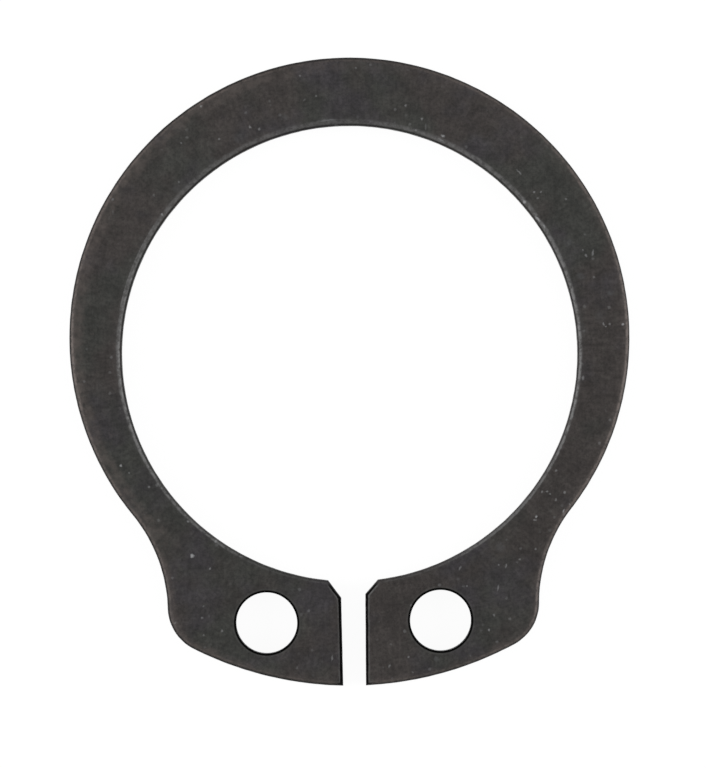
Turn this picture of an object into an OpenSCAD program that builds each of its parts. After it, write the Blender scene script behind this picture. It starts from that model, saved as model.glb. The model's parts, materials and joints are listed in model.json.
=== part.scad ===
// External retaining ring for an 18 mm shaft, stamped from spring steel strip.
// The ring lies flat with its lower face on z = 0. The bore's axis is the z axis and
// the lugs point towards -y, so the widest part of the bow lies on +y.

/* [Bow] */
// Diameter of the free bore, before the ring is opened over a shaft
bore_d = 16.5; // [15.5:0.05:17.5]
// Radial width of the bow opposite the gap, its widest place
back_w = 2.48; // [2.2:0.02:2.8]
// How far the outer circle's centre lies behind the bore's, which thins the bow towards the lugs
bow_offset = 0.58; // [0.4:0.02:0.7]
// Thickness of the strip
thickness = 1.2; // [0.8:0.05:1.6]
// Width of the tumbled break along every edge
edge_break = 0.12; // [0.04:0.01:0.2]

/* [Lugs] */
// Radial depth of the lugs beside the gap
lug_depth = 3.78; // [3.5:0.02:4.1]
// Width across both lugs
lug_span = 13.46; // [12.8:0.02:14]
// Radius of the lugs' far corners
corner_r = 1.7; // [1.2:0.05:2]
// Radius of the necks where the bow runs into the lugs
neck_r = 5.6; // [4.5:0.1:7]

/* [Plier holes] */
// Diameter of the two plier holes
hole_d = 2.21; // [1.8:0.01:2.4]
// Distance between the holes' centres
hole_spacing = 6.3; // [5.4:0.05:7]
// Metal left between the bore and each hole
hole_wall = 0.85; // [0.7:0.01:1]

/* [Gap] */
// Width of the gap where it leaves the bore
gap_w = 0.88; // [0.7:0.01:1.3]
// Lean of each gap face, which narrows the gap towards the rim, in degrees
gap_lean = 0.45; // [0:0.05:1]
// Width of the sloping cut at each lug's inner corner
chamfer_w = 0.46; // [0.3:0.01:0.6]
// Depth of that cut on the left lug
left_chamfer_h = 0.6; // [0.4:0.01:0.8]
// Depth of that cut on the right lug
right_chamfer_h = 0.48; // [0.4:0.01:0.8]

/* [Hidden] */
$fn = 180;

bore_r = bore_d / 2;
outer_r = bore_r + back_w - bow_offset;
lug_r = bore_r + lug_depth + bow_offset;

// How far cutters reach past the faces that they cut through
overshoot = 1;

// The outline's arcs run smoothly into each other, so their centres form a triangle on each side:
// the bow's centre, the far corner's centre and the neck's centre outside the metal.
// Each arc crosses the next by this much, far less than can be seen
crossing = 0.005;
bow_centre = [0, bow_offset];
corner_reach = lug_r - corner_r + crossing;
neck_reach = outer_r + neck_r - crossing;
neck_to_corner = neck_r + corner_r - crossing;

// Angle between two sides of a triangle, from its three lengths
function angle_between(a, b, opposite) = acos((a * a + b * b - opposite * opposite) / (2 * a * b));

// A point at a distance and direction from another
function polar(from, reach, angle) = from + reach * [cos(angle), sin(angle)];

// Centres of the right lug's far corner and of the right neck
corner_angle = -acos((lug_span / 2 - corner_r) / corner_reach);
neck_angle = corner_angle + angle_between(neck_reach, corner_reach, neck_to_corner);
corner_at = polar(bow_centre, corner_reach, corner_angle);
neck_at = polar(bow_centre, neck_reach, neck_angle);

// The web between the bow and the lugs ends inside the lugs, past the corner's centre
web_end = corner_at + (corner_at - neck_at) * corner_r / neck_to_corner;

// Place of the right plier hole
hole_reach = bore_r + hole_wall + hole_d / 2;
hole_at = [hole_spacing / 2, -sqrt(hole_reach * hole_reach - hole_spacing * hole_spacing / 4)];

// The gap faces and the sloping cuts start at the bore's edge
gap_top = [gap_w / 2, -sqrt(bore_r * bore_r - gap_w * gap_w / 4)];
slope_x = gap_w / 2 + chamfer_w;
slope_top = [slope_x, -sqrt(bore_r * bore_r - slope_x * slope_x)];

// Each lug's cutter crosses the middle of the gap by this much, so the two of them meet
gap_middle = gap_w / 4;

// Section through the strip from x = 0 to a wall with broken corners
module edge_section(wall_x) {
    polygon([
        [0, 0],
        [wall_x - edge_break, 0],
        [wall_x, edge_break],
        [wall_x, thickness - edge_break],
        [wall_x - edge_break, thickness],
        [0, thickness]
    ]);
}

// Section of a cutter from x = 0 to a wall, which leaves such corners on the metal behind it
module cutter_section(wall_x) {
    mouth_x = wall_x + edge_break;
    polygon([
        [0, -overshoot],
        [mouth_x, -overshoot],
        [mouth_x, 0],
        [wall_x, edge_break],
        [wall_x, thickness - edge_break],
        [mouth_x, thickness],
        [mouth_x, thickness + overshoot],
        [0, thickness + overshoot]
    ]);
}

// Disc with broken rims, or a sector of it
module disc(r, from = 0, sweep = 360) {
    rotate_extrude(angle = sweep, start = from) edge_section(r);
}

// Cutter for a round hole with broken rims
module hole_cutter(r) {
    rotate_extrude() cutter_section(r);
}

// Cutter for a straight wall from one point to another, with the metal on its left-hand side.
// It runs past both points and takes away a strip of the given depth
module wall_cutter(from, to, past, depth) {
    run = to - from;
    translate([from.x, from.y, 0])
        rotate([0, 0, atan2(run.y, run.x)])
            translate([-past, -depth, 0])
                rotate([90, 0, 90]) linear_extrude(height = norm(run) + 2 * past) cutter_section(depth);
}

// Cutter for the right lug's end: its gap face and the sloping cut at its inner corner
module lug_end_cutter(chamfer_h) {
    down = [-tan(gap_lean), -1];
    wall_cutter(gap_top, gap_top + lug_depth * down, overshoot, gap_w / 2 + gap_middle);
    wall_cutter(slope_top, gap_top + chamfer_h * down, gap_middle, chamfer_w);
}

// Puts its children at a place on the right and at its mirror place on the left
module both_sides(at) {
    for (side = [-1, 1]) {
        translate([side * at.x, at.y, 0]) children();
    }
}

// The blank before the bore, the holes and the gap are cut
module blank() {
    difference() {
        union() {
            translate([bow_centre.x, bow_centre.y, 0]) {
                disc(outer_r);
                disc(lug_r, -180 - corner_angle, 180 + 2 * corner_angle);
            }
            both_sides(corner_at) disc(corner_r);
            linear_extrude(height = thickness) polygon([
                bow_centre,
                neck_at,
                web_end,
                [-web_end.x, web_end.y],
                [-neck_at.x, neck_at.y]
            ]);
        }
        both_sides(neck_at) hole_cutter(neck_r);
    }
}

module retaining_ring() {
    color([0.24, 0.23, 0.22])
        difference() {
            blank();
            hole_cutter(bore_r);
            both_sides(hole_at) hole_cutter(hole_d / 2);
            lug_end_cutter(right_chamfer_h);
            mirror([1, 0, 0]) lug_end_cutter(left_chamfer_h);
        }
}

retaining_ring();
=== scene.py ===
# %% [markdown]
# This script dresses a retaining ring: a flat ring of hardened spring steel, open at one place,
# that snaps into a groove in a shaft. The real one is punched from strip, tumbled until its
# edges are soft, and blackened in a hot phosphate bath. So there is only one piece to model,
# and all the work is in its outline, its worn edges and its dark, mottled skin.
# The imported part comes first, as a fixed frame that gives the sizes.

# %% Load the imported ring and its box
import json
import math
import bmesh
import bpy
from mathutils import Matrix, Vector


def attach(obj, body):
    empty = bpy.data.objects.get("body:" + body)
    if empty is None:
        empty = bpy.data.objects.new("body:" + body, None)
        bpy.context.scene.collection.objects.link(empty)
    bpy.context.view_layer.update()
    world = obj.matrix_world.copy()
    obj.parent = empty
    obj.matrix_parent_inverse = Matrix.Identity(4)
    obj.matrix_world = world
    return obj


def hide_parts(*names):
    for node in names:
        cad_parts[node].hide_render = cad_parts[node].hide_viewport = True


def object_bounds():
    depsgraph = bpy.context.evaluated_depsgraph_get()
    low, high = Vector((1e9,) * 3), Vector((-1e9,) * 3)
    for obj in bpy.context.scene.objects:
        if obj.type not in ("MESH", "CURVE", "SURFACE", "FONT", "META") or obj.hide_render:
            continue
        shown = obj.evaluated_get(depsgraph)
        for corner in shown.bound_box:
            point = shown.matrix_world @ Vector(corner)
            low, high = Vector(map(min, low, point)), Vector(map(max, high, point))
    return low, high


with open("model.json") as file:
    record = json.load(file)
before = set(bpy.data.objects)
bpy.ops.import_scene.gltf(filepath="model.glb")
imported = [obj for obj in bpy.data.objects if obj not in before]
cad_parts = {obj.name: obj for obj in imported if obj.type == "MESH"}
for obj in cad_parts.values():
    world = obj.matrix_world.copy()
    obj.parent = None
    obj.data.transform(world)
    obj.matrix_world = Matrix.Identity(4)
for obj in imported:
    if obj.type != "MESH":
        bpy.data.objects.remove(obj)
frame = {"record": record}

cad_low, cad_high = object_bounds()
print("CAD box in metres:", list(cad_low), list(cad_high))

# %% [markdown]
# The record of the part says where its bore and its plier holes are and how wide they are.
# Those sizes are read, not typed again, so the dressed ring always fits its own CAD part.
# What the record doesn't state, such as the corners' radii, has its own name here.
# The outline is drawn in millimetres, so that the numbers below are the ones that a gauge would
# read. The finished ring is brought to metres at the end.

# %% Sizes in millimetres
MM = 0.001
mounts = {mount["name"]: mount for mount in frame["record"]["mounts"]}


def mount_radius(name):
    return mounts[name]["dims"]["r_mm"]


def mount_place(name):
    return Vector(mounts[name]["pos_m"][:2]) / MM


bore_r = mount_radius("shaft_seat")
hole_r = mount_radius("plier_hole_right")
hole_places = [mount_place("plier_hole_left"), mount_place("plier_hole_right")]
thickness = (cad_high.z - cad_low.z) / MM
outer_r = cad_high.x / MM
bow_centre = Vector((0, cad_high.y / MM - outer_r))

corner_r = 1.7
neck_r = 5.6
lug_span = 13.46
gap_w = 0.88
gap_lean = math.radians(0.45)
cut_w = 0.46
left_cut_h = 0.6
right_cut_h = 0.48

lug_depth = 3.78
lug_r = bore_r + lug_depth + bow_centre.y
print("bore", bore_r, "outer", round(outer_r, 3), "lugs", round(lug_r, 3))
print("thickness", round(thickness, 3))

# %% [markdown]
# The outline is a chain of arcs. The bow's arc runs into a hollow neck, the neck into the lug's
# round far corner, and that into the lug's rim, always without a kink. Two arcs meet without a
# kink where the line through their centres crosses them, so their centres form a triangle and
# the law of cosines gives its angles. Only the right side is worked out: the left mirrors it.

# %% Centres of the arcs
def direction(angle):
    return Vector((math.cos(angle), math.sin(angle)))


def heading(start, end):
    run = end - start
    return math.atan2(run.y, run.x)


def mirrored(point):
    return Vector((-point.x, point.y))


corner_reach = lug_r - corner_r
neck_reach = outer_r + neck_r
neck_to_corner = neck_r + corner_r
corner_angle = -math.acos((lug_span / 2 - corner_r) / corner_reach)
opening = math.acos(
    (neck_reach**2 + corner_reach**2 - neck_to_corner**2) / (2 * neck_reach * corner_reach)
)
corner_centre = bow_centre + corner_reach * direction(corner_angle)
neck_centre = bow_centre + neck_reach * direction(corner_angle + opening)

lug_join = bow_centre + lug_r * direction(corner_angle)
neck_join = corner_centre + corner_r * (neck_centre - corner_centre).normalized()
bow_join = bow_centre + outer_r * (neck_centre - bow_centre).normalized()


def on_bore(x):
    return Vector((x, -math.sqrt(bore_r**2 - x**2)))


def gap_point(depth):
    """A point on the right gap face, so far below the bore's edge. The faces lean together."""
    return on_bore(gap_w / 2) + depth * Vector((-math.tan(gap_lean), -1))


cut_start = on_bore(gap_w / 2 + cut_w)
rim_x = gap_point(lug_depth).x
rim_corner = Vector((rim_x, bow_centre.y - math.sqrt(lug_r**2 - rim_x**2)))
print("bow to neck at", bow_join, "neck to corner at", neck_join, "corner to rim at", lug_join)

# %% [markdown]
# The outline could be typed as a list of points, but then nobody could read or change it.
# Here it is drawn as with a pen: a single vertex is spun round each arc's centre in turn and
# extruded along the straight stretches. Spin counts its angle clockwise, which is why the sign
# turns. Near a sharp corner the first step is longer, because the rounded edge is made later
# by moving the outline inwards, and points close to a corner would then cross each other.

# %% Draw the outline
STEP = 0.065
CORNER_CLEAR = 0.42
CUT_CLEAR = 0.22
WELD = 0.002
ANTICLOCKWISE = 1
CLOCKWISE = -1
edge_r = 0.2
full_turn = 2 * math.pi


def put_pen(name, at):
    """Starts a piece that is a single vertex."""
    bpy.ops.object.select_all(action="DESELECT")
    bpy.ops.mesh.primitive_plane_add(size=STEP, location=at)
    piece = bpy.context.object
    piece.name = name
    bpy.ops.object.transform_apply(location=True, rotation=False, scale=False)
    bpy.ops.object.mode_set(mode="EDIT")
    bpy.ops.mesh.select_mode(type="VERT")
    bpy.ops.mesh.select_all(action="SELECT")
    bpy.ops.mesh.merge(type="CENTER")
    return piece


def move_pen(move):
    bpy.ops.mesh.extrude_vertices_move(TRANSFORM_OT_translate={"value": move})


def spin_pen(centre, sweep, steps):
    bpy.ops.mesh.spin(
        steps=steps, angle=-sweep, center=(centre.x, centre.y, edge_r), axis=(0, 0, 1)
    )


def draw_arc(centre, start, end, turn, clear_start=0, clear_end=0):
    """Draws round a centre from one point to another, with longer steps beside sharp corners."""
    radius = (start - centre).length
    sweep = (turn * (heading(centre, end) - heading(centre, start))) % full_turn
    short = sweep - (clear_start + clear_end) / radius
    if clear_start:
        spin_pen(centre, turn * clear_start / radius, 1)
    spin_pen(centre, turn * short, max(2, round(short * radius / STEP)))
    if clear_end:
        spin_pen(centre, turn * clear_end / radius, 1)


def draw_line(start, end, clear_start, clear_end):
    """Draws a straight stretch in short steps, with longer ones at its ends."""
    length = (end - start).length
    along = (end - start).to_3d() / length
    count = max(1, round((length - clear_start - clear_end) / STEP))
    short = (length - clear_start - clear_end) / count
    for step in [clear_start] + [short] * count + [clear_end]:
        move_pen(step * along)


bore_centre = Vector((0, 0))
left_cut_start = mirrored(cut_start)
left_cut_end = mirrored(gap_point(left_cut_h))
right_cut_end = gap_point(right_cut_h)
left_rim = mirrored(rim_corner)
left_corner = mirrored(corner_centre)
left_neck = mirrored(neck_centre)
left_neck_join = mirrored(neck_join)
left_bow_join = mirrored(bow_join)

ring = put_pen("retaining_ring_finish", cut_start.to_3d() + Vector((0, 0, edge_r)))
draw_arc(bore_centre, cut_start, left_cut_start, ANTICLOCKWISE, CUT_CLEAR, CUT_CLEAR)
draw_line(left_cut_start, left_cut_end, CUT_CLEAR, CUT_CLEAR)
draw_line(left_cut_end, left_rim, CUT_CLEAR, CORNER_CLEAR)
draw_arc(bow_centre, left_rim, mirrored(lug_join), CLOCKWISE, CORNER_CLEAR)
draw_arc(left_corner, mirrored(lug_join), left_neck_join, CLOCKWISE)
draw_arc(left_neck, left_neck_join, left_bow_join, ANTICLOCKWISE)
draw_arc(bow_centre, left_bow_join, bow_join, CLOCKWISE)
draw_arc(neck_centre, bow_join, neck_join, ANTICLOCKWISE)
draw_arc(corner_centre, neck_join, lug_join, CLOCKWISE)
draw_arc(bow_centre, lug_join, rim_corner, CLOCKWISE, 0, CORNER_CLEAR)
draw_line(rim_corner, right_cut_end, CORNER_CLEAR, CUT_CLEAR)
draw_line(right_cut_end, cut_start, CUT_CLEAR, CUT_CLEAR)
bpy.ops.mesh.select_all(action="SELECT")
bpy.ops.mesh.remove_doubles(threshold=WELD)
bpy.ops.object.mode_set(mode="OBJECT")
print("outline:", len(ring.data.vertices), "points and", len(ring.data.edges), "edges")

# %% [markdown]
# The closed outline becomes one large face. Fill would make thin triangles of it, and moving
# their border later would fold them. The face is then pulled up in rows, which makes the punched
# wall, with a copy of the face left below. Recalculating normals can guess wrong on a ring, so
# the top face decides which side is out.

# %% Raise the wall
WALL_ROWS = 6
wall_h = thickness - 2 * edge_r

bpy.ops.object.mode_set(mode="EDIT")
bpy.ops.mesh.select_all(action="SELECT")
bpy.ops.mesh.edge_face_add()
for row in range(WALL_ROWS):
    bpy.ops.mesh.extrude_region_move(TRANSFORM_OT_translate={"value": (0, 0, wall_h / WALL_ROWS)})


def face_outwards(piece):
    """Turns all faces of the piece that is being edited outwards, and leaves edit mode."""
    bpy.ops.mesh.select_all(action="SELECT")
    bpy.ops.mesh.normals_make_consistent(inside=False)
    bpy.ops.object.mode_set(mode="OBJECT")
    top_face = max(piece.data.polygons, key=lambda face: face.center.z)
    if top_face.normal.z < 0:
        bpy.ops.object.mode_set(mode="EDIT")
        bpy.ops.mesh.flip_normals()
        bpy.ops.object.mode_set(mode="OBJECT")


face_outwards(ring)
print("raised:", len(ring.data.vertices), "points in", WALL_ROWS + 1, "rows")

# %% [markdown]
# Tumbling rounds every edge of the real ring, and the photo shows it as a soft light band all
# along the outline. A Bevel modifier could do this, but on thousands of short edges it also
# makes odd corners. So the top and bottom faces are pushed outwards in small insets instead,
# each one step round a quarter circle. Some more insets follow on the flat, and every loop
# writes down how far it lies from the edge, which the material reads later as edge_depth.

# %% Round the edges with insets
ROLL_STEPS = 8
FLAT_STEPS = [0.04, 0.05, 0.08]
FLAT_NORMAL = 0.9

ring.data.attributes.new("edge_depth", "FLOAT", "POINT")


def select_flat(side):
    """Selects the flat face on the upper side, 1, or the lower side, -1."""
    bpy.ops.object.mode_set(mode="EDIT")
    bpy.ops.mesh.select_mode(type="FACE")
    bpy.ops.mesh.select_all(action="DESELECT")
    bpy.ops.object.mode_set(mode="OBJECT")
    for face in ring.data.polygons:
        face.select = face.normal.z * side > FLAT_NORMAL
    bpy.ops.object.mode_set(mode="EDIT")


def note_depth(depth):
    mesh = bmesh.from_edit_mesh(ring.data)
    layer = mesh.verts.layers.float["edge_depth"]
    for vert in mesh.verts:
        if vert.select:
            vert[layer] = depth
    bmesh.update_edit_mesh(ring.data)


def step_in(width, rise, depth):
    bpy.ops.mesh.inset(thickness=width, depth=rise, use_even_offset=True)
    note_depth(depth + width)
    return depth + width


def round_edges(side):
    select_flat(side)
    depth = 0
    for step in range(ROLL_STEPS):
        now = math.pi / 2 * step / ROLL_STEPS
        after = math.pi / 2 * (step + 1) / ROLL_STEPS
        width = edge_r * (math.cos(now) - math.cos(after))
        rise = edge_r * (math.sin(after) - math.sin(now))
        depth = step_in(width, rise, depth)
    for width in FLAT_STEPS:
        depth = step_in(width, 0, depth)
    bpy.ops.object.mode_set(mode="OBJECT")
    return depth


round_edges(1)
face_depth = round_edges(-1)
heights = [vert.co.z for vert in ring.data.vertices]
print("rounded edges reach", round(face_depth, 3), "mm in; heights", min(heights), max(heights))

# %% [markdown]
# The plier holes are punched after the blank, and their edges stay much sharper than the
# outline's. So they are cut as on the real part: half the section of a punch with a small flare
# at both ends is drawn with the same pen, spun once round the hole's axis and taken away with
# a Boolean. The flare's arc stops just short of flat, so that it crosses the face cleanly.

# %% Punch the two plier holes
HOLE_POINTS = 120
FLARE_STEPS = 5
PUNCH_PAST = 0.3
SAME_HEIGHT = 0.01
hole_edge_r = 0.06
flare = math.radians(80)


def close_end(piece, height):
    """Fills the open loop at a height."""
    bpy.ops.mesh.select_mode(type="VERT")
    bpy.ops.mesh.select_all(action="DESELECT")
    bpy.ops.object.mode_set(mode="OBJECT")
    for vert in piece.data.vertices:
        vert.select = abs(vert.co.z - height) < SAME_HEIGHT
    bpy.ops.object.mode_set(mode="EDIT")
    bpy.ops.mesh.edge_face_add()


def draw_punch(at):
    """Half the punch's section, from under the ring to above it, spun into a closed body."""
    flare_x = hole_r + hole_edge_r * (1 - math.cos(flare))
    flare_z = hole_edge_r * (1 - math.sin(flare))
    arc_x = at.x + hole_r + hole_edge_r
    punch = put_pen("plier_punch", Vector((at.x + flare_x, at.y, -PUNCH_PAST)))
    move_pen((0, 0, PUNCH_PAST + flare_z))
    arc = {"steps": FLARE_STEPS, "angle": -flare, "axis": (0, 1, 0)}
    bpy.ops.mesh.spin(center=(arc_x, at.y, hole_edge_r), **arc)
    move_pen((0, 0, thickness - 2 * hole_edge_r))
    bpy.ops.mesh.spin(center=(arc_x, at.y, thickness - hole_edge_r), **arc)
    move_pen((0, 0, PUNCH_PAST + flare_z))
    bpy.ops.mesh.select_all(action="SELECT")
    bpy.ops.mesh.spin(steps=HOLE_POINTS, angle=full_turn, center=(at.x, at.y, 0), axis=(0, 0, 1))
    close_end(punch, -PUNCH_PAST)
    close_end(punch, thickness + PUNCH_PAST)
    face_outwards(punch)
    return punch


def apply_modifier(piece, modifier):
    bpy.ops.object.select_all(action="DESELECT")
    bpy.context.view_layer.objects.active = piece
    piece.select_set(True)
    bpy.ops.object.modifier_apply(modifier=modifier.name)


def cut_away(piece, tool):
    boolean = piece.modifiers.new("punch", "BOOLEAN")
    boolean.object = tool
    boolean.operation = "DIFFERENCE"
    boolean.solver = "EXACT"
    apply_modifier(piece, boolean)
    bpy.data.objects.remove(tool)


for place in hole_places:
    cut_away(ring, draw_punch(place))
print("holes punched:", len(ring.data.vertices), "points and", len(ring.data.polygons), "faces")

# %% [markdown]
# Each edge of the real ring wears in its own way: the outer rim is brownish with a soft shoulder, the
# bore's edge is grey and grainy, and the edges beside the gap stay black, which is painted shade. The
# material has to know which is which, so every point gets a colour that names its edge: red for the
# outer rim, green for the bore and blue for the gap. The colour is stronger at the sides of the bow
# than at its top and bottom. That is painted light: the sides face the two soft boxes, and their
# rounded edges catch more of it. On the lugs the bore's colour is weaker still. The loop at a hole
# belongs to the flat face.

# %% Name each edge
ring.data.attributes.new("edge_kind", "FLOAT_COLOR", "POINT")
NEAR_EDGE = face_depth + 0.03
LEAST_SIDE_LIGHT = 0.5
LUG_TOP = -7.3
LUG_BORE_SHARE = 0.5


def kind_at(place):
    """Red, green or blue, and less of it at the top, at the bottom and on the lugs."""
    # The share grows towards the sides of the bow, which face the soft boxes: this is painted light,
    # not wear.
    side_light = LEAST_SIDE_LIGHT + (1 - LEAST_SIDE_LIGHT) * abs(place.x) / place.xy.length
    from_bore = place.xy.length - bore_r
    from_gap = abs(place.x) - gap_w / 2
    from_rim = lug_r - (place.xy - bow_centre).length
    beside_gap = place.y < 0 and from_gap < min(from_rim, cut_w + face_depth)
    if beside_gap and (from_bore > cut_w or from_gap < cut_w):
        return (0, 0, 1, 1)
    if from_bore < NEAR_EDGE:
        return (0, side_light * (LUG_BORE_SHARE if place.y < LUG_TOP else 1), 0, 1)
    return (side_light, 0, 0, 1)


def at_a_hole(place):
    reach = hole_r + 2 * hole_edge_r
    return any((place.xy - centre).length < reach for centre in hole_places)


kinds = ring.data.attributes["edge_kind"].data
depths = ring.data.attributes["edge_depth"].data
for vert, kind, depth in zip(ring.data.vertices, kinds, depths):
    kind.color = kind_at(vert.co)
    if at_a_hole(vert.co):
        depth.value = face_depth
print("points beside the gap:", sum(kind.color[2] > 0.5 for kind in kinds))

# %% [markdown]
# Punching also leaves a die roll: round the outer rim, the upper face sinks a little before it
# reaches the rounded edge. It is only a few hundredths of a millimetre, but it catches the light
# as a soft shoulder. The edges aren't quite even either, so a Displace modifier with a cloud
# texture moves them by a hair, weighted to nothing on the flat faces so that those stay flat.

# %% Die roll and uneven edges
ROLL_DROP = 0.025
UNEVEN = 0.014
GRAIN_SIZE = 0.35
MID_LEVEL = 0.75

uneven_group = ring.vertex_groups.new(name="edges")
for index, (vert, kind, depth) in enumerate(zip(ring.data.vertices, kinds, depths)):
    on_face = min(1, depth.value / face_depth)
    if vert.co.z > thickness / 2 and kind.color[0] > 0:
        vert.co.z -= ROLL_DROP * (1 - on_face) ** 2
    if on_face < 1:
        uneven_group.add([index], (1 - on_face) ** 2, "REPLACE")

clouds = bpy.data.textures.new("uneven_edges", "CLOUDS")
clouds.noise_scale = GRAIN_SIZE
uneven = ring.modifiers.new("uneven", "DISPLACE")
uneven.texture = clouds
uneven.texture_coords = "LOCAL"
uneven.vertex_group = "edges"
uneven.strength = UNEVEN
uneven.mid_level = MID_LEVEL
apply_modifier(ring, uneven)
print("edges moved by less than", UNEVEN, "mm")

# %% [markdown]
# The ring was drawn in millimetres. It is brought to metres, smoothed except at its true
# corners, and takes the place of the CAD part, which stays hidden behind it for collisions.

# %% Hand the ring over to the frame
SMOOTH_UP_TO = math.radians(35)

ring.scale = (MM, MM, MM)
bpy.ops.object.select_all(action="DESELECT")
bpy.context.view_layer.objects.active = ring
ring.select_set(True)
bpy.ops.object.transform_apply(location=False, rotation=False, scale=True)
bpy.ops.object.shade_smooth_by_angle(angle=SMOOTH_UP_TO)
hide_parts("retaining_ring")
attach(ring, "root")
print("ring in metres:", [round(side, 5) for side in ring.dimensions])

# %% [markdown]
# Now the skin. Black phosphate is a thin crust of crystals, so it is nearly matt and never one
# colour: soft greenish, brown and purplish patches run into each other, with a fine grain on
# top. Such a surface is built from noise at several sizes. These helpers keep the node code
# short: each adds one node, fills its inputs with numbers or links, and gives its output back.

# %% Helpers for shader nodes
def connect(tree, value, socket):
    """Puts a number, a colour or another node's output into a socket."""
    if isinstance(value, bpy.types.NodeSocket):
        tree.links.new(value, socket)
    else:
        socket.default_value = value


def add_node(tree, kind, inputs, **settings):
    made = tree.nodes.new("ShaderNode" + kind)
    for name, value in settings.items():
        setattr(made, name, value)
    for name, value in inputs.items():
        connect(tree, value, made.inputs[name])
    return made


def maths(tree, operation, first, second, clamp=False):
    made = add_node(tree, "Math", {0: first, 1: second}, operation=operation, use_clamp=clamp)
    return made.outputs[0]


def product(tree, first, *others):
    for other in others:
        first = maths(tree, "MULTIPLY", first, other)
    return first


def largest(tree, first, *others):
    for other in others:
        first = maths(tree, "MAXIMUM", first, other)
    return first


def ramp(tree, value, start, end, low=0.0, high=1.0):
    """Runs smoothly from low to high while the value goes from start to end."""
    inputs = {"Value": value, "From Min": start, "From Max": end, "To Min": low, "To Max": high}
    return add_node(tree, "MapRange", inputs, interpolation_type="SMOOTHSTEP").outputs["Result"]


def mix_colour(tree, share, first, second, kind="MIX"):
    made = add_node(tree, "Mix", {0: share, 6: first, 7: second}, data_type="RGBA", blend_type=kind)
    return made.outputs[2]


def shaded(tree, colour, tone):
    """The colour, made darker or lighter by a tone."""
    grey = add_node(tree, "CombineColor", {0: tone, 1: tone, 2: tone}).outputs[0]
    return mix_colour(tree, 1.0, colour, grey, "MULTIPLY")


def noise(tree, place, scale, detail=2.0, roughness=0.5):
    inputs = {"Vector": place, "Scale": scale, "Detail": detail, "Roughness": roughness}
    return add_node(tree, "TexNoise", inputs).outputs["Fac"]


def stretched(tree, place, scale, shift=(0, 0, 0)):
    return add_node(tree, "Mapping", {"Vector": place, "Scale": scale, "Location": shift}).outputs[0]


def roughened(tree, place, scale, amount):
    """Moves places by a little noise, so that what is drawn with them gets a ragged edge."""
    colour = add_node(tree, "TexNoise", {"Vector": place, "Scale": scale}).outputs["Color"]
    centred = add_node(tree, "VectorMath", {0: colour, 1: (0.5, 0.5, 0.5)}, operation="SUBTRACT")
    push = {0: centred.outputs[0], "Scale": amount}
    push = add_node(tree, "VectorMath", push, operation="SCALE").outputs[0]
    return add_node(tree, "VectorMath", {0: place, 1: push}).outputs[0]


SOCKETS = {"vector": "NodeSocketVector", "number": "NodeSocketFloat", "colour": "NodeSocketColor"}


def new_group(name, inputs, outputs):
    """An empty node group with named sockets. Gives the group, its inputs and its outputs."""
    tree = bpy.data.node_groups.new(name, "ShaderNodeTree")
    for socket, kind in inputs.items():
        tree.interface.new_socket(socket, in_out="INPUT", socket_type=SOCKETS[kind])
    for socket, kind in outputs.items():
        tree.interface.new_socket(socket, in_out="OUTPUT", socket_type=SOCKETS[kind])
    return tree, tree.nodes.new("NodeGroupInput").outputs, tree.nodes.new("NodeGroupOutput").inputs


def use_group(tree, group, inputs):
    made = tree.nodes.new("ShaderNodeGroup")
    made.node_tree = group
    for name, value in inputs.items():
        connect(tree, value, made.inputs[name])
    return made.outputs


print("node helpers are ready")

# %% [markdown]
# The mottle is one group, because the flat faces and the punched wall share it. Three slow
# noises choose between the crust's tints, a middle one makes them cloudy, and a fine one with
# crystals of a few hundredths of a millimetre gives the grain. A noise that is squeezed across
# and drawn out along the strip adds the faint rolling lines. Places are in millimetres.

# %% Phosphate mottle
GREEN_GREY = (0.0336, 0.0340, 0.0310, 1)
WARM_BROWN = (0.0383, 0.0334, 0.0315, 1)
PURPLE_GREY = (0.0364, 0.0334, 0.0361, 1)
PATCH_NOISE = (0.34, 3)
PURPLE_NOISE = (0.544, 3)
CLOUD_NOISE = (1.9, 4, 0.6)
GRAIN_NOISE = (7.5, 3, 0.65)
CRYSTAL_NOISE = (24.0, 2, 0.6)
ROLLING_NOISE = (1.0, 3, 0.6)
ROLLING_STRETCH = (9.0, 0.45, 1.0)
PATCH_FADE = (0.4, 0.6)
PURPLE_FADE = (0.47, 0.68)
CLOUD_TONE = (0.3, 0.7, 0.79, 1.26)
GRAIN_TONE = (0.28, 0.72, 0.71, 1.31)
ROLLING_TONE = (0.3, 0.7, 0.93, 1.08)
ELSEWHERE = (31, 17, 5)

mottle, given, result = new_group(
    "Phosphate mottle", {"Place": "vector"}, {"Colour": "colour", "Grain": "number"}
)
patches = ramp(mottle, noise(mottle, given["Place"], *PATCH_NOISE), *PATCH_FADE)
tint = mix_colour(mottle, patches, GREEN_GREY, WARM_BROWN)
elsewhere = stretched(mottle, given["Place"], (1, 1, 1), ELSEWHERE)
purple = ramp(mottle, noise(mottle, elsewhere, *PURPLE_NOISE), *PURPLE_FADE)
tint = mix_colour(mottle, purple, tint, PURPLE_GREY)
clouds_tone = ramp(mottle, noise(mottle, given["Place"], *CLOUD_NOISE), *CLOUD_TONE)
grain = noise(mottle, given["Place"], *GRAIN_NOISE)
grain_tone = ramp(mottle, grain, *GRAIN_TONE)
rolling = noise(mottle, stretched(mottle, given["Place"], ROLLING_STRETCH), *ROLLING_NOISE)
tone = product(mottle, clouds_tone, grain_tone, ramp(mottle, rolling, *ROLLING_TONE))
mottle.links.new(shaded(mottle, tint, tone), result["Colour"])
crystals = noise(mottle, given["Place"], *CRYSTAL_NOISE)
mottle.links.new(maths(mottle, "ADD", grain, crystals), result["Grain"])
print("mottle has", len(mottle.nodes), "nodes")

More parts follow.
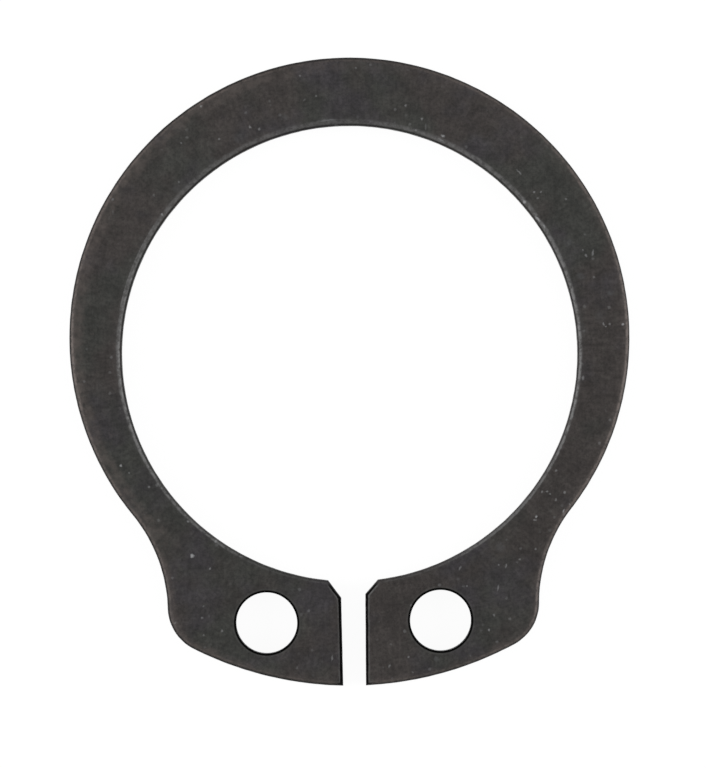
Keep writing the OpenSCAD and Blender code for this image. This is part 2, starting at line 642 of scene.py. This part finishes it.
# %% [markdown]
# Tiny chips in the crust show as light specks. A Voronoi texture scatters one point in every
# cell, a small distance from it is a speck, and its cell's random colour decides whether the
# speck is there at all and how pale it is. A little noise on the place makes the specks ragged.

# %% Scattered specks
RAGGED_SCALE = 14.0
RAGGED_BY = 0.07
SOLID_PART = 0.35

specks, given, result = new_group(
    "Light specks",
    {"Place": "vector", "Cell": "number", "Size": "number", "Share": "number"},
    {"Mask": "number"},
)
ragged_place = roughened(specks, given["Place"], RAGGED_SCALE, RAGGED_BY)
density = maths(specks, "DIVIDE", 1.0, given["Cell"])
cells = add_node(specks, "TexVoronoi", {"Vector": ragged_place, "Scale": density}).outputs
reach = product(specks, cells["Distance"], given["Cell"])
inner = product(specks, given["Size"], SOLID_PART)
inside = ramp(specks, reach, inner, given["Size"], 1.0, 0.0)
dice = add_node(specks, "SeparateColor", {0: cells["Color"]}).outputs
there = maths(specks, "LESS_THAN", dice[0], given["Share"])
specks.links.new(product(specks, there, dice[1], inside), result["Mask"])
print("specks have", len(specks.nodes), "nodes")

# %% [markdown]
# The larger marks are part of this very ring, all but one painted highlight among the streaks, so they
# are placed one by one, each where the photograph shows it. A chip is round: its centre in the
# picture, its radius and its strength.
# A streak is an ellipse, with half its width and length and its turn from upright. One helper
# turns a place in the picture into a place on the upper face, with the numbers that aim the
# camera below. The renderer holds a limited number of steps in one material, so chips stay cheap.

# %% Placed marks
PICTURE_W = 706
PICTURE_H = 768
VIEW_H = 27.80
VIEW_TURN = math.radians(-0.85)
VIEW_CENTRE = Vector((0.104, -1.102))
UNIT = VIEW_H / PICTURE_H
HARD_PART = 0.3
MARK_DEPTH = 0.5
MARK_GRAIN = 12.0
MARK_RAGGED = 0.08


def on_face(across, down):
    """The place on the upper face, in millimetres, of a place in the picture."""
    offset = Vector(((across - PICTURE_W / 2) * UNIT, (PICTURE_H / 2 - down) * UNIT))
    offset.rotate(Matrix.Rotation(VIEW_TURN, 2))
    return (VIEW_CENTRE + offset).to_3d() + Vector((0, 0, thickness))


def add_chip(tree, place, across, down, radius, strength):
    inputs = {0: place, 1: on_face(across, down)}
    reach = add_node(tree, "VectorMath", inputs, operation="DISTANCE").outputs["Value"]
    return ramp(tree, reach, HARD_PART * radius * UNIT, radius * UNIT, strength, 0.0)


def add_streak(tree, place, across, down, width, length, turn, strength):
    inputs = {
        "Vector": place,
        "Location": on_face(across, down),
        "Rotation": (0, 0, math.radians(-turn)),
        "Scale": (width * UNIT, length * UNIT, MARK_DEPTH),
    }
    inside = add_node(tree, "Mapping", inputs, vector_type="TEXTURE").outputs[0]
    reach = add_node(tree, "VectorMath", {0: inside}, operation="LENGTH").outputs["Value"]
    return ramp(tree, reach, HARD_PART, 1.0, strength, 0.0)


def marks_group(name, add_mark, marks):
    tree, given, result = new_group(name, {"Place": "vector"}, {"Mask": "number"})
    place = roughened(tree, given["Place"], MARK_GRAIN, MARK_RAGGED)
    mask = add_mark(tree, place, *marks[0])
    for mark in marks[1:]:
        mask = largest(tree, mask, add_mark(tree, place, *mark))
    tree.links.new(mask, result["Mask"])
    return tree


CHIPS = [
    (121, 465.5, 1.8, 0.85), (129, 473, 1.5, 0.3), (149, 487, 1.6, 0.4), (188, 521.6, 1.7, 0.5),
    (192, 555.8, 2.6, 1), (210, 568.6, 1.7, 0.5), (202, 618, 1.6, 0.35), (203.5, 606.5, 1.5, 0.3),
    (175, 623, 1.6, 0.35), (203.5, 635, 1.5, 0.3), (536.3, 516.5, 2, 0.9), (556, 470.6, 1.5, 0.4),
    (547, 491.6, 1.5, 0.5), (550, 494, 1.4, 0.4), (564.7, 492.5, 1.7, 0.5), (556, 499.7, 1.5, 0.4),
    (570, 504.4, 1.5, 0.4), (519.7, 559.3, 1.5, 0.4), (535.6, 549, 1.5, 0.4), (498.7, 565, 1.55, 0.4),
    (494, 615, 1.6, 0.35), (467, 586, 1.5, 0.35), (524.4, 202, 2.7, 1), (534, 192, 1.5, 0.5),
    (541, 192, 1.55, 0.4), (537.7, 198, 1.5, 0.35), (566, 199, 1.6, 0.35), (594, 277, 1.8, 0.3),
    (583, 250, 1.4, 0.35), (605.7, 326.5, 1.3, 0.5), (609.6, 324, 1.45, 0.4), (623, 324.4, 1.9, 0.85),
    (609, 307.5, 2.2, 0.25), (316, 96, 1.6, 0.35), (299.7, 75.7, 1.5, 0.35), (356, 68, 1.5, 0.35),
    (405.6, 105.7, 1.6, 0.45), (422, 118.8, 1.6, 0.5), (415.8, 130.6, 1.5, 0.4), (259, 129, 1.7, 0.4),
    (201, 106.5, 1.7, 0.6), (219, 139, 1.6, 0.4), (181, 143, 1.55, 0.35), (162, 214.5, 1.7, 0.6),
    (179, 182, 1.6, 0.3), (408.6, 657, 1.4, 0.45), (367, 645, 1.4, 0.5), (367, 665, 1.4, 0.5),
]
STREAKS_AND_HIGHLIGHT = [
    (216, 541, 1.5, 2.6, 40, 0.6), (222, 631, 1.6, 1.8, 20, 0.4), (542, 491.6, 1.5, 2, 20, 0.5),
    (563.7, 510.8, 1.3, 3.2, 30, 0.7), (489, 630, 1.5, 1.8, 20, 0.5), (498, 588, 1.2, 4.2, 12, 0.4),
    (460, 568, 1.2, 3.6, 25, 0.35), (535, 520, 2.4, 1.4, 0, 0.4), (537.7, 218.8, 1.6, 5, -38, 0.9),
    (544, 226, 1.5, 2.6, -38, 0.7), (592.8, 253, 1.3, 4.4, 4, 0.45), (586, 255.5, 1.6, 2.6, -30, 0.45),
    (603.5, 324, 1.3, 2.6, -25, 0.5), (583, 378, 2, 3, 10, 0.45), (443, 136, 1.8, 3, -68, 0.8),
    (336, 125, 3, 1.3, 0, 0.5), (250, 127, 1.5, 2.2, -35, 0.5), (332, 658, 1.2, 4, 10, 0.35),
    # The streak at 367, 608 is a painted highlight beside the gap on the right lug.
    (389.5, 666, 1.4, 3, 30, 0.4), (327, 120.3, 1.2, 12, 85, 0.25), (367, 608, 1.8, 1.3, 0, 0.75),
    (468, 633, 1.3, 2.4, 20, 0.55), (340.5, 629, 1.1, 4.5, 0, 0.45), (441, 140, 1, 4.6, -60, 0.4),
    (519, 172, 1, 5, -45, 0.4), (411, 605, 1.3, 2.2, 0, 0.3), (506, 566, 1.3, 3.2, 15, 0.4),
]
SMUDGES = [
    (568, 243, 7, 6, 0, 0.5), (580.5, 276, 6, 5, 0, 0.45), (283.8, 117, 6, 5, 0, 0.5),
    (327, 120, 13, 3, 0, 0.5), (500, 547, 7, 7, 0, 0.35), (610.6, 292.8, 5, 4, 0, 0.5),
    (436.7, 659, 4, 3.4, 30, 0.6), (601, 317, 8, 9, 0, 0.25), (582, 330, 7, 9, 0, 0.3),
    (178, 187, 9, 9, 0, 0.3), (212, 163, 8, 7, 0, 0.3), (240, 137, 9, 7, -30, 0.35),
]
chips = marks_group("Placed chips", add_chip, CHIPS)
streaks_and_highlight = marks_group("Placed streaks", add_streak, STREAKS_AND_HIGHLIGHT)
smudges = marks_group("Placed smudges", add_streak, SMUDGES)
print(len(CHIPS), "chips,", len(STREAKS_AND_HIGHLIGHT), "streaks and", len(SMUDGES), "smudges are placed")

# %% [markdown]
# The edges tell most about the part. Seen from above, every edge ends in a thin dark line where it
# turns down, and that line is painted shade. Inside it lies a light band that is partly grey steel,
# where the tumbled crust is thin, and partly painted highlight, the light that the rounded edge
# catches. The band is even and grainy along the bore and broad and brownish along the outer rim, with
# a faint haze beyond that paints the highlight on the die roll's shoulder. The gap faces were cut
# last, so they keep a black line of painted shade with a hair-thin bright burr, which is partly
# painted highlight. The plier holes too keep a plain black ring of painted shade. One group makes a
# mask for each of these. It starts with measures, because the bands and lines depend on how deep a
# point lies inside its edge, and on how far left or back it is: they aren't alike all round the ring.

# %% Measures for the edges
ALONG_NOISE = (0.28, 2)
WANDER_NOISE = (3, 2)
STRAY_NOISE = (4.5, 4, 0.7)
PATCHY_NOISE = (6.5, 4, 0.7)
BLOTCHY_NOISE = (2.6, 4, 0.65)
PATCHY_TONE = (0.32, 0.66, 0.3, 1.35)
BLOTCHY_TONE = (0.36, 0.64, 0.25, 1.5)
LEFT_TO_RIGHT = (-5.0, 3.0)
LUG_TO_LUG = (-0.4, 0.4)
LEFT_SHIFT = 0.012
WANDER_BY = 0.05
BACK_TILT = 0.15
BORE_WIDTHS = (-8.0, 8.0, 0.72, 1.35)

edges, given, result = new_group(
    "Edge wear",
    {"Place": "vector", "Depth": "number", "Kind": "colour"},
    {"Dark": "number", "Bore": "number", "Rim": "number", "Burr highlight": "number"},
)


def edge_noise(settings):
    return noise(edges, given["Place"], *settings)


kind = add_node(edges, "SeparateColor", {0: given["Kind"]}).outputs
is_rim = kind[0]
is_bore = kind[1]
is_gap = kind[2]
across = add_node(edges, "SeparateXYZ", {0: given["Place"]}).outputs
x_at = across["X"]
y_at = across["Y"]
towards_back = maths(edges, "SUBTRACT", y_at, product(edges, x_at, BACK_TILT))
to_upper_left = maths(edges, "SUBTRACT", y_at, x_at)

along = edge_noise(ALONG_NOISE)
patchy = ramp(edges, edge_noise(PATCHY_NOISE), *PATCHY_TONE)
blotchy = ramp(edges, edge_noise(BLOTCHY_NOISE), *BLOTCHY_TONE)
stray = maths(edges, "SUBTRACT", edge_noise(STRAY_NOISE), 0.5)
wander = product(edges, maths(edges, "SUBTRACT", edge_noise(WANDER_NOISE), 0.5), WANDER_BY)

left_shift = ramp(edges, x_at, *LEFT_TO_RIGHT, LEFT_SHIFT, 0.0)
line_depth = maths(edges, "SUBTRACT", given["Depth"], left_shift)
depth = maths(edges, "ADD", line_depth, wander)
bore_depth = maths(edges, "DIVIDE", depth, ramp(edges, towards_back, *BORE_WIDTHS))
print("edge measures take", len(edges.nodes), "nodes")

# %% [markdown]
# A band comes up with the depth from the edge, stays for a while and goes away again, so four
# depths in millimetres describe it. Noise makes it patchy, and slow changes across the ring make
# it stronger or weaker where the photograph shows that. The haze inside the outer rim reaches
# further in than edge_depth does, so it is measured from the bow's centre instead.

# %% Light bands along the edges, partly wear and partly painted highlight
BORE_BAND = (0.025, 0.08, 0.12, 0.215)
UPPER_LEFT_BORE = (6.0, 12.4, 1.0, 0.72)
LOWER_RIGHT_BORE = (-12.4, -9.5, 1.6, 1.0)
BORE_TAIL = (0.0, 0.08, 0.12, 0.33)
BORE_TAIL_SHARE = 0.13
INNER_LINE = (0.155, 0.18, 0.21, 0.245)
INNER_LINE_SHARE = 0.9
INNER_LINE_SIDE = (-5.5, -5.0, 1.0, 0.0)
INNER_LINE_START = (1.2, 2.2, 0.0, 1.0)
INNER_LINE_END = (4.6, 5.4, 1.0, 0.0)
RIM_CORE = (0.0, 0.06, 0.085, 0.2)
RIM_TAIL = (0.0, 0.06, 0.16, 0.36)
RIM_TAIL_STRAYS = 0.35
RIM_TAIL_SHARES = (0.42, 0.2)
RIM_ALONG = (0.35, 0.65, 0.75, 1.15)
HAZE_DEPTHS = (0.33, 0.62, 1.0, 0.0)
HAZE_STRAYS = 0.5
HAZE_SHARES = (0.3, 0.07)
HAZE_ON_BOW = (-7.5, -6.0, 0.0, 1.0)


def band(depth, rise_from, rise_to, fall_from, fall_to, strength=1.0):
    """A band that comes up and goes away again with the depth from the edge."""
    up = ramp(edges, depth, rise_from, rise_to, 0.0, strength)
    return product(edges, up, ramp(edges, depth, fall_from, fall_to, 1.0, 0.0))


# The bore's band is partly bare steel and partly painted highlight on the rounded edge.
bore_band = product(
    edges,
    band(bore_depth, *BORE_BAND),
    ramp(edges, to_upper_left, *UPPER_LEFT_BORE),
    ramp(edges, to_upper_left, *LOWER_RIGHT_BORE),
)
bore_tail = band(bore_depth, *BORE_TAIL, BORE_TAIL_SHARE)
# A thin painted highlight runs along the left side of the bore, where the edge catches a lamp.
painted_inner_highlight = product(
    edges,
    band(line_depth, *INNER_LINE, INNER_LINE_SHARE),
    ramp(edges, x_at, *INNER_LINE_SIDE),
    ramp(edges, y_at, *INNER_LINE_START),
    ramp(edges, y_at, *INNER_LINE_END),
)
bore_band = largest(edges, bore_band, bore_tail, painted_inner_highlight)
edges.links.new(product(edges, bore_band, patchy, is_bore), result["Bore"])

# The rim's band and its tail are partly bare steel and partly painted highlight on the rounded edge
# and the die roll.
rim_core = product(edges, band(depth, *RIM_CORE), patchy)
tail_depth = maths(edges, "ADD", depth, product(edges, stray, RIM_TAIL_STRAYS))
tail_share = ramp(edges, x_at, *LEFT_TO_RIGHT, *RIM_TAIL_SHARES)
rim_tail = product(edges, band(tail_depth, *RIM_TAIL), blotchy, tail_share)
rim_band = largest(edges, rim_core, rim_tail)
rim_band = product(edges, rim_band, ramp(edges, along, *RIM_ALONG), is_rim)

flat_place = stretched(edges, given["Place"], (1, 1, 0))


def distance_from(point):
    """How far a place lies from the upright line through a point."""
    centre = (point.x, point.y, 0)
    apart = add_node(edges, "VectorMath", {0: flat_place, 1: centre}, operation="DISTANCE")
    return apart.outputs["Value"]


# The haze is painted highlight on the die roll's shoulder.
from_rim = maths(edges, "SUBTRACT", outer_r, distance_from(bow_centre))
haze_depth = maths(edges, "ADD", from_rim, product(edges, stray, HAZE_STRAYS))
haze = product(
    edges,
    ramp(edges, haze_depth, *HAZE_DEPTHS),
    ramp(edges, x_at, *LEFT_TO_RIGHT, *HAZE_SHARES),
    ramp(edges, y_at, *HAZE_ON_BOW),
    blotchy,
)
edges.links.new(largest(edges, rim_band, haze), result["Rim"])
print("with the bands:", len(edges.nodes), "nodes")

# %% [markdown]
# The dark line is painted shade, where the rounded edge turns down away from the light. It is narrow
# on the edges that face the side lamps and wider where they don't. It is paler at the front of the
# bore, and it fades again towards the wall, so that from the side the edge runs softly into it. Beside
# the gap it is wide, with a sharp end and the burr next to it, whose thin bright line is partly
# painted highlight. Each plier hole has a plain black ring of painted shade of its own, with a faint
# light ring round it that is partly bare steel and partly painted highlight. The holes' rings are
# measured from the holes' axes.

# %% Painted shade lines and burr highlight
LINE_START = 0.01
LINE_DARK = 0.9
SHADED_LINE_END = 0.12
LIT_LINE_END = 0.08
FRONT_BORE = (-7.0, 0.0, 0.8, 0.0)
GAP_LINE = (0.075, 0.1, 1.0, 0.0)
WALL_FADE = (0.0, 0.03, 0.1, 1.0)
HOLE_LINE = (0.065, 0.095, 1.0, 0.0)
HOLE_RING = (0.1, 0.17, 0.13, 0.0)
BURR_HIGHLIGHT_BAND = (0.085, 0.105, 0.12, 0.175)
BURR_HIGHLIGHT_SHARES = (0.7, 1.1)
BURR_HIGHLIGHT_FACE_TO_CUT = (-8.95, -8.75, 0.36, 0.75)

# The painted shade line ends sooner where the edge faces the soft boxes.
rim_line_end = ramp(edges, is_rim, LEAST_SIDE_LIGHT, 1.0, SHADED_LINE_END, LIT_LINE_END)
narrowing = product(edges, is_bore, SHADED_LINE_END - LIT_LINE_END)
bore_line_end = maths(edges, "SUBTRACT", SHADED_LINE_END, narrowing)
line_end = maths(edges, "MINIMUM", rim_line_end, bore_line_end)
thin_dark = ramp(edges, line_depth, LINE_START, line_end, LINE_DARK, 0.0)
bore_mask = maths(edges, "MULTIPLY", is_bore, 2.0, clamp=True)
pale_bore = product(edges, bore_mask, ramp(edges, y_at, *FRONT_BORE))
thin_dark = product(edges, thin_dark, maths(edges, "SUBTRACT", 1.0, pale_bore))
gap_depth = maths(edges, "SUBTRACT", depth, ramp(edges, x_at, *LUG_TO_LUG, LEFT_SHIFT, 0.0))
wide_dark = product(edges, ramp(edges, gap_depth, *GAP_LINE), is_gap)
line = largest(edges, thin_dark, wide_dark)
line = product(edges, line, ramp(edges, given["Depth"], *WALL_FADE))

# Each plier hole gets a black ring of painted shade.
left_hole, right_hole = hole_places
nearest = maths(edges, "MINIMUM", distance_from(left_hole), distance_from(right_hole))
from_hole = maths(edges, "SUBTRACT", nearest, hole_r)
hole_line = ramp(edges, from_hole, *HOLE_LINE)
edges.links.new(largest(edges, line, hole_line), result["Dark"])

# The thin bright line beside the gap is partly burr and partly painted highlight on the top edge. The
# light ring round each hole is partly bare steel and partly painted highlight.
burr_highlight = product(
    edges,
    band(depth, *BURR_HIGHLIGHT_BAND),
    patchy,
    ramp(edges, x_at, *LUG_TO_LUG, *BURR_HIGHLIGHT_SHARES),
    ramp(edges, y_at, *BURR_HIGHLIGHT_FACE_TO_CUT),
    is_gap,
)
hole_ring = ramp(edges, from_hole, *HOLE_RING)
edges.links.new(largest(edges, burr_highlight, hole_ring), result["Burr highlight"])
print("edge wear has", len(edges.nodes), "nodes")

# %% [markdown]
# The face material lays its tints over each other: the mottle, chalky blotches, smudges, the edge
# bands that are partly wear and partly painted highlight, specks and chips, and last the dark line of
# painted shade. Bare steel is paler, smoother and a little metallic where the crust is thin, so the
# same masks also steer roughness and metal. The dark line of painted shade is fully metallic, because
# a black metal reflects nothing, and a sheen would spoil the painted shade. Bump gives the crystals
# height.

# %% Blackened face
SPECULAR = 0.18
BRIGHT_SPECKS = (0.95, 0.07, 0.24, 0.4)
UPRIGHT_SPECKS = (1.3, 0.14, 0.26, 0.3)
UPRIGHT_STRETCH = (3.2, 0.9, 1)
DUST_SPECKS = (0.42, 0.08, 0.5, 0.24)
BROKEN_NOISE = (5.5, 3, 0.6)
BROKEN_TONE = (0.36, 0.62, 0.3, 1.1)
CHALK_NOISE = (4.2, 3, 0.6)
CHALK_TONE = (0.5, 0.68, 0.0, 0.25)
CHALKY_PLACES = (0.9, 2)
CHALKY_FADE = (0.42, 0.6)
FRONT_TO_BACK = (-10.0, 8.0, 0.94, 1.03)
RIM_BARE = 0.6
BARE_METAL = 0.3
CRUST_ROUGH = 0.6
STEEL_ROUGH = 0.42
CRYSTAL_BUMP = {"Distance": 0.000006, "Strength": 0.5}

CHALK_TINT = (0.074, 0.073, 0.064, 1)
SMUDGE_TINT = (0.078, 0.079, 0.081, 1)
CHIP_AND_HIGHLIGHT_TINT = (0.27, 0.27, 0.275, 1)
BORE_TINT = (0.127, 0.125, 0.124, 1)
RIM_TINT = (0.116, 0.097, 0.089, 1)
BURR_HIGHLIGHT_TINT = (0.130, 0.130, 0.128, 1)
DARK_TINT = (0.002, 0.002, 0.002, 1)


def new_material(name):
    material = bpy.data.materials.new(name)
    material.use_nodes = True
    tree = material.node_tree
    tree.nodes.clear()
    place = add_node(tree, "TexCoord", {}).outputs["Object"]
    place = stretched(tree, place, (1 / MM, 1 / MM, 1 / MM))
    return material, tree, place


def finish_material(tree, inputs, bump_inputs):
    """The shader and its bump stay in the material itself."""
    normal = add_node(tree, "Bump", bump_inputs).outputs["Normal"]
    inputs = {**inputs, "Normal": normal, "Specular IOR Level": SPECULAR}
    shader = add_node(tree, "BsdfPrincipled", inputs)
    output = tree.nodes.new("ShaderNodeOutputMaterial")
    tree.links.new(shader.outputs[0], output.inputs["Surface"])


def add_specks(tree, place, cell, size, share, strength):
    inputs = {"Place": place, "Cell": cell, "Size": size, "Share": share}
    return product(tree, use_group(tree, specks, inputs)[0], strength)


face_material, tree, place = new_material("blackened_steel_face")
skin = use_group(tree, mottle, {"Place": place})
depth_at = add_node(tree, "Attribute", {}, attribute_name="edge_depth").outputs["Fac"]
kind_colour = add_node(tree, "Attribute", {}, attribute_name="edge_kind").outputs["Color"]
wear_and_light = use_group(tree, edges, {"Place": place, "Depth": depth_at, "Kind": kind_colour})

# Specks, chips and streaks, with one painted highlight among the streaks.
specks_and_highlight = largest(
    tree,
    add_specks(tree, place, *BRIGHT_SPECKS),
    add_specks(tree, place, *DUST_SPECKS),
    add_specks(tree, stretched(tree, place, UPRIGHT_STRETCH), *UPRIGHT_SPECKS),
    use_group(tree, chips, {"Place": place})[0],
    use_group(tree, streaks_and_highlight, {"Place": place})[0],
)
broken = ramp(tree, noise(tree, place, *BROKEN_NOISE), *BROKEN_TONE)
cloudy = product(tree, use_group(tree, smudges, {"Place": place})[0], broken)
chalk = ramp(tree, noise(tree, place, *CHALK_NOISE), *CHALK_TONE)
chalk = product(tree, chalk, ramp(tree, noise(tree, place, *CHALKY_PLACES), *CHALKY_FADE))

y_of_place = add_node(tree, "SeparateXYZ", {0: place}).outputs["Y"]
colour = shaded(tree, skin["Colour"], ramp(tree, y_of_place, *FRONT_TO_BACK))
# The edge bands are partly wear and partly painted highlight, and the dark line is painted shade.
LAYERS = [
    (chalk, CHALK_TINT),
    (cloudy, SMUDGE_TINT),
    (wear_and_light["Rim"], RIM_TINT),
    (wear_and_light["Bore"], BORE_TINT),
    (wear_and_light["Burr highlight"], BURR_HIGHLIGHT_TINT),
    (specks_and_highlight, CHIP_AND_HIGHLIGHT_TINT),
    (wear_and_light["Dark"], DARK_TINT),
]
for mask, tint in LAYERS:
    colour = mix_colour(tree, mask, colour, tint)

bare_and_highlight = largest(tree, wear_and_light["Bore"], product(tree, wear_and_light["Rim"], RIM_BARE), specks_and_highlight)
finish_material(
    tree,
    {
        "Base Color": colour,
        "Roughness": ramp(tree, bare_and_highlight, 0.0, 1.0, CRUST_ROUGH, STEEL_ROUGH),
        "Metallic": largest(tree, product(tree, bare_and_highlight, BARE_METAL), wear_and_light["Dark"]),
    },
    {"Height": skin["Grain"], **CRYSTAL_BUMP},
)
print("face material:", len(tree.nodes), "nodes")

# %% [markdown]
# A punched wall has two zones. The punch first shears the strip and leaves upright burnished
# lines, and below about two thirds of the height the steel tears and stays rough. Both carry
# the same black crust, so the wall shares the mottle and only adds the lines and the tear.

# %% Blackened wall
SHEAR_STRETCH = (16, 16, 0.7)
SHEAR_NOISE = (1.0, 4, 0.6)
TEAR_NOISE = (13.0, 5, 0.75)
TEAR_EDGE_NOISE = (1.6, 2)
TEAR_WANDER = 0.25
TEAR_H = 0.42
TEAR_SOFT = 0.12
WALL_TONE = (0.3, 0.7, 0.8, 1.2)
TORN_ROUGH = 0.72
SHEARED_ROUGH = 0.48
WALL_BUMP = {"Distance": 0.00001, "Strength": 0.6}
WALL_NORMAL = 0.08

wall_material, tree, place = new_material("blackened_steel_wall")
skin = use_group(tree, mottle, {"Place": place})
lines = noise(tree, stretched(tree, place, SHEAR_STRETCH), *SHEAR_NOISE)
tear = noise(tree, place, *TEAR_NOISE)
edge_of_tear = product(tree, noise(tree, place, *TEAR_EDGE_NOISE), TEAR_WANDER)
height = add_node(tree, "SeparateXYZ", {0: place}).outputs["Z"]
height = maths(tree, "ADD", height, edge_of_tear)
sheared = ramp(tree, height, TEAR_H, TEAR_H + TEAR_SOFT)
relief = add_node(tree, "Mix", {0: sheared, 2: tear, 3: lines}).outputs[0]
finish_material(
    tree,
    {
        "Base Color": shaded(tree, skin["Colour"], ramp(tree, relief, *WALL_TONE)),
        "Roughness": ramp(tree, sheared, 0.0, 1.0, TORN_ROUGH, SHEARED_ROUGH),
    },
    {"Height": relief, **WALL_BUMP},
)
ring.data.materials.append(face_material)
ring.data.materials.append(wall_material)
for face in ring.data.polygons:
    face.material_index = int(abs(face.normal.z) < WALL_NORMAL)
print("wall faces:", sum(face.material_index for face in ring.data.polygons))

# %% [markdown]
# The photograph looks straight down from far away, so a long lens stands above the ring. It
# is turned a little, because the ring lies slightly askew in the picture, and its distance
# follows from the height that the picture shows at the upper face.

# %% Camera
LENS = 0.6
SENSOR = 0.036
CLIP_START = 0.001

camera_data = bpy.data.cameras.new("copy_stand")
camera_data.lens = LENS / MM
camera_data.sensor_width = SENSOR / MM
camera = bpy.data.objects.new("copy_stand", camera_data)
bpy.context.scene.collection.objects.link(camera)
stand_off = VIEW_H * MM * LENS / SENSOR
camera.location = (VIEW_CENTRE.x * MM, VIEW_CENTRE.y * MM, thickness * MM + stand_off)
camera.rotation_euler = (0, 0, VIEW_TURN)
camera_data.clip_start = CLIP_START
bpy.context.scene.camera = camera
print("camera stands", round(stand_off, 4), "m above the ring")

# %% [markdown]
# Small catalogue parts are lit by two soft boxes on a white table. They stand low at the left
# and right, so the worn edges that face them catch the light, and the matt faces don't shine.
# The white background comes from what the camera sees, not from more light: for the camera and
# for reflections the floor and the world glow white, and for all other light they are plain.

# %% Light and floor
BOX_POWER = 0.5
BOX_PLACES = [(-0.28, 0.0, 0.12), (0.28, 0.0, 0.12)]
BOX_W = 0.2
BOX_L = 0.3
TABLE_W = 3
PAPER = (0.8, 0.8, 0.8, 1)
WHITE = (1, 1, 1, 1)
ROOM_LIGHT = 0.5
GLOW = 0.94
SHADOW_SHARE = 0.11

for number, place in enumerate(BOX_PLACES, 1):
    lamp = bpy.data.lights.new("soft_box_" + str(number), "AREA")
    lamp.shape = "RECTANGLE"
    lamp.size = BOX_W
    lamp.size_y = BOX_L
    lamp.energy = BOX_POWER
    box = bpy.data.objects.new(lamp.name, lamp)
    box.location = place
    box.rotation_euler = (-Vector(place)).to_track_quat("-Z", "Y").to_euler()
    bpy.context.scene.collection.objects.link(box)


def seen_directly(tree):
    """One for camera, glossy and transmission rays, and nought for the light on other things."""
    rays = add_node(tree, "LightPath", {}).outputs
    return largest(
        tree, rays["Is Camera Ray"], rays["Is Glossy Ray"], rays["Is Transmission Ray"]
    )


world = bpy.data.worlds.new("white_room")
bpy.context.scene.world = world
world.use_nodes = True
room = world.node_tree
room.nodes.clear()
extra = product(room, seen_directly(room), 1 - ROOM_LIGHT)
strength = maths(room, "ADD", extra, ROOM_LIGHT)
backdrop = add_node(room, "Background", {"Color": WHITE, "Strength": strength})
world_output = room.nodes.new("ShaderNodeOutputWorld")
room.links.new(backdrop.outputs[0], world_output.inputs["Surface"])

bpy.ops.object.select_all(action="DESELECT")
bpy.ops.mesh.primitive_plane_add(size=TABLE_W, location=(0, 0, 0))
table = bpy.context.object
table.name = "white_table"
paper = bpy.data.materials.new("white_paper")
paper.use_nodes = True
tree = paper.node_tree
tree.nodes.clear()
plain = add_node(tree, "BsdfDiffuse", {"Color": PAPER}).outputs[0]
faint = add_node(tree, "BsdfDiffuse", {"Color": (SHADOW_SHARE,) * 3 + (1,)}).outputs[0]
glow = add_node(tree, "Emission", {"Color": WHITE, "Strength": GLOW}).outputs[0]
shown = add_node(tree, "AddShader", {0: faint, 1: glow}).outputs[0]
surface = add_node(tree, "MixShader", {0: seen_directly(tree), 1: plain, 2: shown}).outputs[0]
paper_output = tree.nodes.new("ShaderNodeOutputMaterial")
tree.links.new(surface, paper_output.inputs["Surface"])
table.data.materials.append(paper)
bpy.context.scene.view_settings.view_transform = "Standard"
print("two soft boxes, a white room and a white table")
